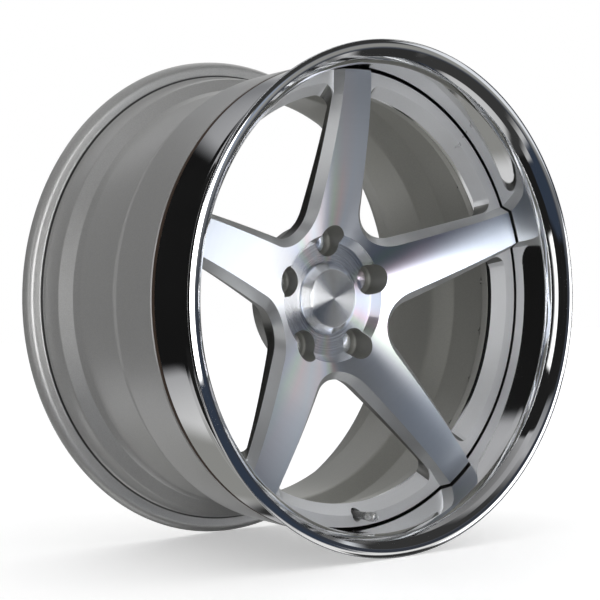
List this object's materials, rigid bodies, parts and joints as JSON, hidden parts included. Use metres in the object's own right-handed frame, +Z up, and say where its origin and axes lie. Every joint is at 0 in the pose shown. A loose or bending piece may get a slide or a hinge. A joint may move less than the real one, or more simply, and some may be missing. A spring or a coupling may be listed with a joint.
{
  "type": "three-piece racing wheel rim",
  "caption": "Forged concave five-spoke wheel rim with a stepped mirror lip, a drop-centre barrel, hidden assembly bolts, a centre cap and a tyre valve.",
  "frame": {"origin": "on the wheel's axis, midway between the two rim flanges", "axes": "+Y along the wheel's axis towards the vehicle (inboard), -Y outboard towards the street side, +Z up along one spoke, +X to the right seen from outboard"},
  "size_m": [0.4966, 0.276, 0.4964],
  "materials": {
    "mirror_lip": "mirror polished aluminium",
    "silver_paint": "satin metallic silver powder coat",
    "sealant": "dark cured sealant",
    "forged_face": "machined and clear-coated spoke faces, satin flanks and ring",
    "bolt_steel": "plated steel",
    "turned_cap": "fine turned aluminium",
    "rubber": "black seal rubber",
    "nickel_plate": "bright nickel plate",
    "brass": "plain brass"
  },
  "bodies": {
    "wheel": {"outer_lip": "mirror_lip", "inner_barrel": "silver_paint", "rim_seal_bead": "sealant", "wheel_center": "forged_face", "assembly_bolt_01": "bolt_steel", "assembly_bolt_02": "bolt_steel", "assembly_bolt_03": "bolt_steel", "assembly_bolt_04": "bolt_steel", "assembly_bolt_05": "bolt_steel", "assembly_bolt_06": "bolt_steel", "assembly_bolt_07": "bolt_steel", "assembly_bolt_08": "bolt_steel", "assembly_bolt_09": "bolt_steel", "assembly_bolt_10": "bolt_steel", "assembly_bolt_11": "bolt_steel", "assembly_bolt_12": "bolt_steel", "assembly_bolt_13": "bolt_steel", "assembly_bolt_14": "bolt_steel", "assembly_bolt_15": "bolt_steel", "assembly_bolt_16": "bolt_steel", "assembly_bolt_17": "bolt_steel", "assembly_bolt_18": "bolt_steel", "assembly_bolt_19": "bolt_steel", "assembly_bolt_20": "bolt_steel", "assembly_bolt_21": "bolt_steel", "assembly_bolt_22": "bolt_steel", "assembly_bolt_23": "bolt_steel", "assembly_bolt_24": "bolt_steel", "assembly_bolt_25": "bolt_steel", "valve_stem": "nickel_plate", "valve_washer": "nickel_plate", "valve_nut": "nickel_plate", "valve_grommet": "rubber", "valve_core_body": "brass"},
    "cap": {"center_cap": "turned_cap", "cap_o_ring": "rubber"},
    "valve_cap_lift": {"valve_cap_seal": "rubber"},
    "valve_cap": {"valve_cap": "nickel_plate"},
    "core_pin": {"valve_core_pin": "brass"}
  },
  "joints": [
    {"name": "center_cap_pull", "type": "slide", "parent": "wheel", "child": "cap", "axis": [0, -1, 0], "range_m": [0, 0.03]},
    {"name": "valve_cap_thread", "type": "slide", "parent": "wheel", "child": "valve_cap_lift", "axis": [0, -1, 0], "range_m": [0, 0.00396]},
    {"name": "valve_cap_turn", "type": "hinge", "parent": "valve_cap_lift", "child": "valve_cap", "pos_m": [0, -0.099, -0.213], "axis": [0, -1, 0], "range_deg": [0, 1800]},
    {"name": "valve_core_press", "type": "slide", "parent": "wheel", "child": "core_pin", "axis": [0, 1, 0], "range_m": [0, 0.001], "stiffness_N_per_m": 1500}
  ],
  "couplings": [
    {"joint": "valve_cap_turn", "follows": "valve_cap_thread", "rad_per_m": 7915.8}
  ]
}
